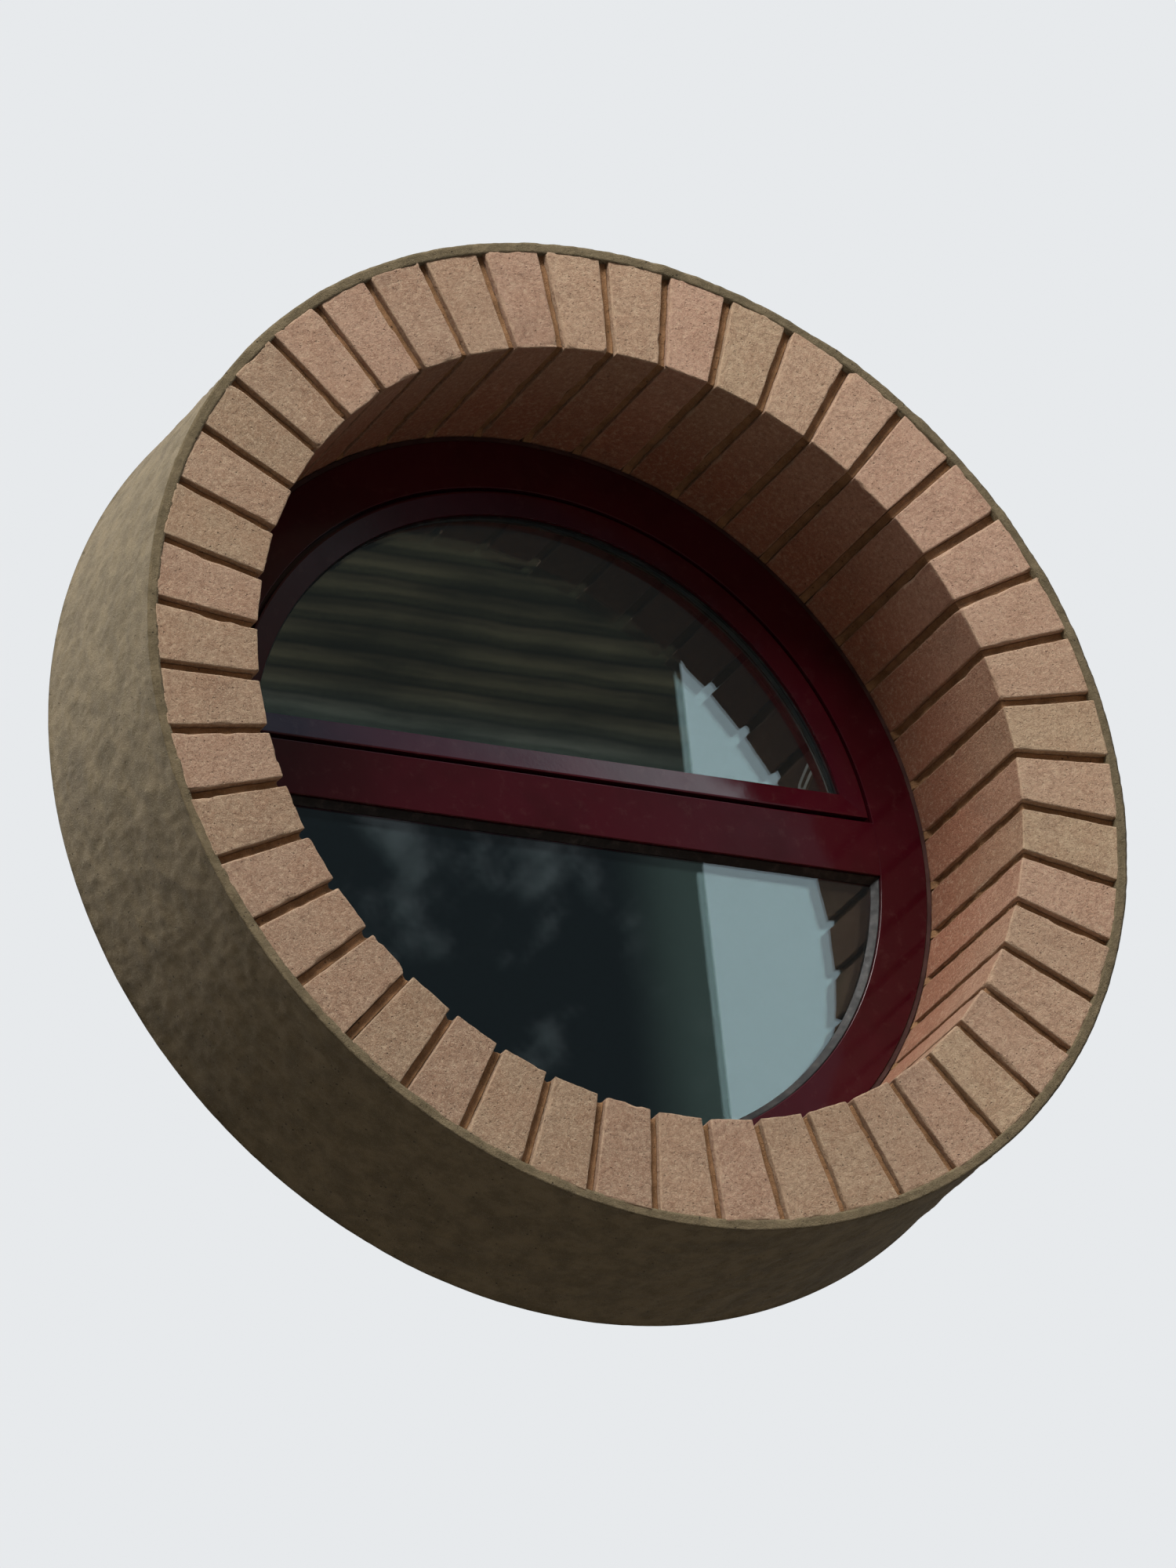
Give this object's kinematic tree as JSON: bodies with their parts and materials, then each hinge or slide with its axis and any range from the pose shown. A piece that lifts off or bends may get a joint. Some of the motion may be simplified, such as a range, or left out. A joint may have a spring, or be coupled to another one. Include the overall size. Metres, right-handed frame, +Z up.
{
  "type": "porthole window",
  "caption": "Round window deep in a ring of radial bricks, with a straight transom, a fixed lower pane and an upper sash that tilts into the room.",
  "frame": {"origin": "centre of the ring of bricks, on the outside face of the wall", "axes": "+Y into the wall towards the room, +Z up, +X to the right seen from outside"},
  "size_m": [1.13, 0.3598, 1.13],
  "materials": {
    "brick": "matte",
    "mortar": "matte",
    "sealant": "satin",
    "foam": "matte",
    "lacquer": "gloss",
    "bare_aluminium": "satin",
    "glass": "polished",
    "edge_seal": "matte",
    "gasket": "satin",
    "plastic": "matte",
    "hardware": "satin",
    "dark_steel": "satin",
    "steel": "satin"
  },
  "bodies": {
    "frame": {"anchor_caps": "plastic", "frame_anchors": "steel", "frame_ring": "lacquer", "hinge_frame_leaf_left": "steel", "hinge_frame_leaf_right": "steel", "hinge_frame_screws": "steel", "hinge_pin_left": "steel", "hinge_pin_right": "steel", "joint_mortar": "mortar", "keeper": "hardware", "keeper_screws": "steel", "lower_curved_bead": "lacquer", "lower_edge_seal": "edge_seal", "lower_inner_gasket": "gasket", "lower_inner_pane": "glass", "lower_outer_gasket": "gasket", "lower_outer_pane": "glass", "lower_setting_blocks": "plastic", "lower_spacer": "bare_aluminium", "lower_straight_bead": "lacquer", "perimeter_foam": "foam", "perimeter_sealant": "sealant", "rim_mortar": "mortar", "ring_bricks": "brick", "stay_frame_screws": "steel", "stay_quadrant_left": "dark_steel", "stay_quadrant_right": "dark_steel", "transom": "lacquer", "transom_cleats": "bare_aluminium", "transom_screws": "steel"},
    "sash": {"catch_pivot": "steel", "catch_plate": "hardware", "catch_screws": "steel", "hinge_sash_leaf_left": "steel", "hinge_sash_leaf_right": "steel", "hinge_sash_screws": "steel", "sash_bent_profile": "lacquer", "sash_bottom_rail": "lacquer", "sash_corner_cleats": "bare_aluminium", "sash_curved_bead": "lacquer", "sash_edge_seal": "edge_seal", "sash_inner_gasket": "gasket", "sash_inner_pane": "glass", "sash_inner_seal": "gasket", "sash_outer_gasket": "gasket", "sash_outer_pane": "glass", "sash_outer_seal": "gasket", "sash_setting_blocks": "plastic", "sash_spacer": "bare_aluminium", "sash_straight_bead": "lacquer", "stay_bracket_left": "dark_steel", "stay_bracket_right": "dark_steel", "stay_sash_screws": "steel", "stay_stud_left": "steel", "stay_stud_right": "steel"},
    "handle": {"catch_handle": "hardware"}
  },
  "joints": [
    {"name": "sash_tilt", "type": "hinge", "parent": "frame", "child": "sash", "pos_m": [0, 0.2565, 0.016], "axis": [-1, 0, 0], "range_deg": [0, 30]},
    {"name": "handle_turn", "type": "hinge", "parent": "sash", "child": "handle", "pos_m": [0, 0.262, 0.3865], "axis": [0, 1, 0], "range_deg": [0, 90]}
  ]
}
